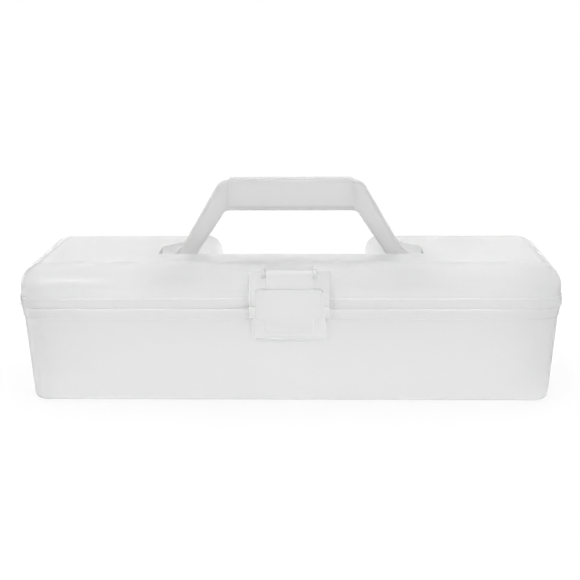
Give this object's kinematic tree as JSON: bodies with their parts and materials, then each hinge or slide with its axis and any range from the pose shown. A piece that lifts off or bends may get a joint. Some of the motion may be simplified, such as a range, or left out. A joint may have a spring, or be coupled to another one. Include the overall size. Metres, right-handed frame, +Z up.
{
  "type": "art supply box",
  "caption": "Long frosted plastic box for art supplies, with a hinged lid, a carry handle that folds into the lid, and a snap latch at the front.",
  "frame": {"origin": "centre of the tub's footprint, on its flat underside", "axes": "+X along the box's length, -Y towards the front with the latch, +Y towards the hinges, +Z up"},
  "size_m": [0.332, 0.1264, 0.132],
  "materials": {
    "tub_plastic": "satin, frosted and see-through",
    "lid_plastic": "satin, frosted and see-through",
    "handle_plastic": "satin, frosted and see-through",
    "latch_plastic": "satin, frosted and see-through"
  },
  "bodies": {
    "tub": {"tub": "tub_plastic"},
    "lid": {"lid": "lid_plastic"},
    "handle": {"carry_handle": "handle_plastic"},
    "latch": {"front_latch": "latch_plastic"}
  },
  "joints": [
    {"name": "lid_hinge", "type": "hinge", "parent": "tub", "child": "lid", "pos_m": [0, 0.0624, 0.06], "axis": [-1, 0, 0], "range_deg": [0, 110]},
    {"name": "handle_hinge", "type": "hinge", "parent": "lid", "child": "handle", "pos_m": [0, 0, 0.074], "axis": [-1, 0, 0], "range_deg": [-38, 90]},
    {"name": "latch_hinge", "type": "hinge", "parent": "lid", "child": "latch", "pos_m": [0, -0.0542, 0.0806], "axis": [-1, 0, 0], "range_deg": [0, 100]}
  ]
}
